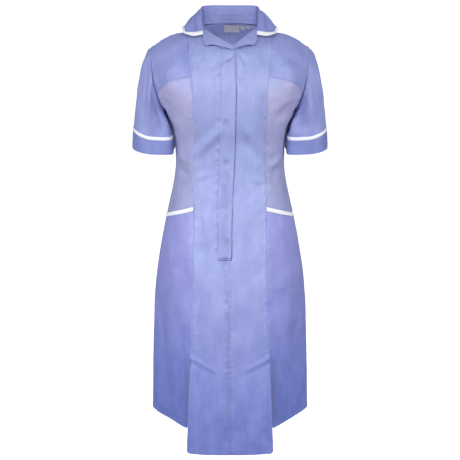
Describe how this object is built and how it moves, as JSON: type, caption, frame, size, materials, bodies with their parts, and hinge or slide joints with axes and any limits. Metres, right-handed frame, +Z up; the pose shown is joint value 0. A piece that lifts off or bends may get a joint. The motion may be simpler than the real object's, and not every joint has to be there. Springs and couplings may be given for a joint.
{
  "type": "nurse uniform dress",
  "caption": "Fitted knee-length uniform dress, shown filled out: short cuffed sleeves, turned-down collar with revers, concealed front opening, bound pockets and kick pleats.",
  "frame": {"origin": "Between the two shoulder seams, at the height of the sides of the neck and half way through the body, where the wearer or a hanger holds the dress.", "axes": "+X is the wearer's left, -Y is the front, +Z is up."},
  "size_m": [0.4882, 0.3609, 1.0947],
  "materials": {
    "periwinkle_cloth": "matt woven polyester cotton",
    "white_binding": "matt woven binding",
    "label_cloth": "satin woven tape",
    "stud_plastic": "matt"
  },
  "bodies": {
    "root": {"centre_front_left": "periwinkle_cloth", "centre_front_right": "periwinkle_cloth", "yoke_front_left": "periwinkle_cloth", "yoke_front_right": "periwinkle_cloth", "bodice_side_front_left": "periwinkle_cloth", "bodice_side_front_right": "periwinkle_cloth", "skirt_side_front_left": "periwinkle_cloth", "skirt_side_front_right": "periwinkle_cloth", "side_back_left": "periwinkle_cloth", "side_back_right": "periwinkle_cloth", "centre_back_left": "periwinkle_cloth", "centre_back_right": "periwinkle_cloth", "sleeve_left": "periwinkle_cloth", "sleeve_right": "periwinkle_cloth", "cuff_left": "periwinkle_cloth", "cuff_right": "periwinkle_cloth", "collar": "periwinkle_cloth", "rever_left": "periwinkle_cloth", "rever_right": "periwinkle_cloth", "front_underlap": "periwinkle_cloth", "kick_pleat_left": "periwinkle_cloth", "kick_pleat_right": "periwinkle_cloth", "collar_trim": "white_binding", "cuff_trim_left": "white_binding", "cuff_trim_right": "white_binding", "pocket_binding_left": "white_binding", "pocket_binding_right": "white_binding", "neck_label": "label_cloth", "size_tab_large": "label_cloth", "size_tab_small": "label_cloth", "press_stud_1": "stud_plastic", "press_stud_2": "stud_plastic", "press_stud_3": "stud_plastic", "press_stud_4": "stud_plastic", "press_stud_5": "stud_plastic"}
  },
  "joints": []
}
